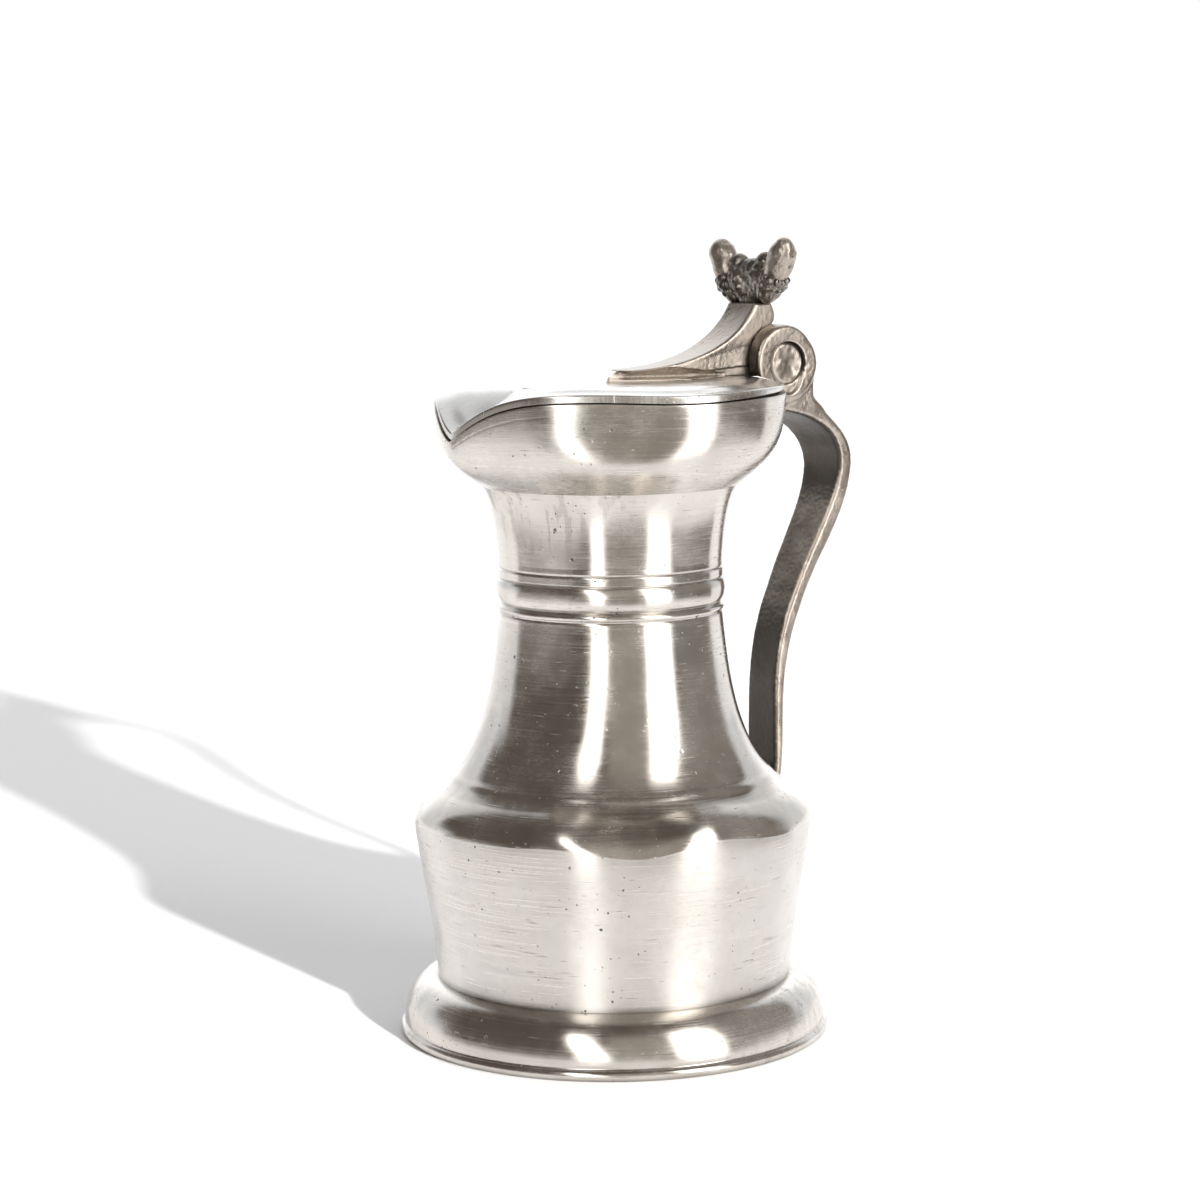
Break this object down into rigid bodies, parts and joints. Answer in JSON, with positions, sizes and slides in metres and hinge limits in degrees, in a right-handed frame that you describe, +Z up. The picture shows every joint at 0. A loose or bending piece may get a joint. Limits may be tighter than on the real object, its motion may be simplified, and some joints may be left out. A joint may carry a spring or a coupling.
{
  "type": "lidded pewter flagon",
  "caption": "Lidded pewter drinking and pouring flagon with a bulbous drum, long banded neck, beaked mouth, strap handle and a hinged lid with an acorn thumbpiece.",
  "frame": {"origin": "centre of the foot ring on the table surface, on the axis of the round body", "axes": "+Z up along the body's axis, +X towards the handle and hinge, -X towards the pouring beak, Y along the hinge pin"},
  "size_m": [0.1437, 0.1244, 0.2281],
  "materials": {
    "pewter_bright": "worn satin pewter with fine turning lines, scratches and small pits",
    "pewter": "cast pewter, slightly grainy, polished on the edges",
    "pewter_dark": "dark oxidised pewter"
  },
  "bodies": {
    "vessel": {"foot_ring": "pewter", "base_plate": "pewter_dark", "lower_drum": "pewter_bright", "shoulder_neck": "pewter_bright", "upper_neck": "pewter_bright", "mouth_cup": "pewter_bright", "handle": "pewter", "hinge_pin": "pewter_dark", "pin_plug_near": "pewter", "pin_plug_far": "pewter"},
    "lid": {"lid_plate": "pewter_bright", "lid_ramp": "pewter", "thumbpiece": "pewter_dark", "acorn_near": "pewter", "acorn_far": "pewter"}
  },
  "joints": [
    {"name": "lid_hinge", "type": "hinge", "parent": "vessel", "child": "lid", "pos_m": [0.0552, 0, 0.1917], "axis": [0, 1, 0], "range_deg": [0, 100]}
  ]
}
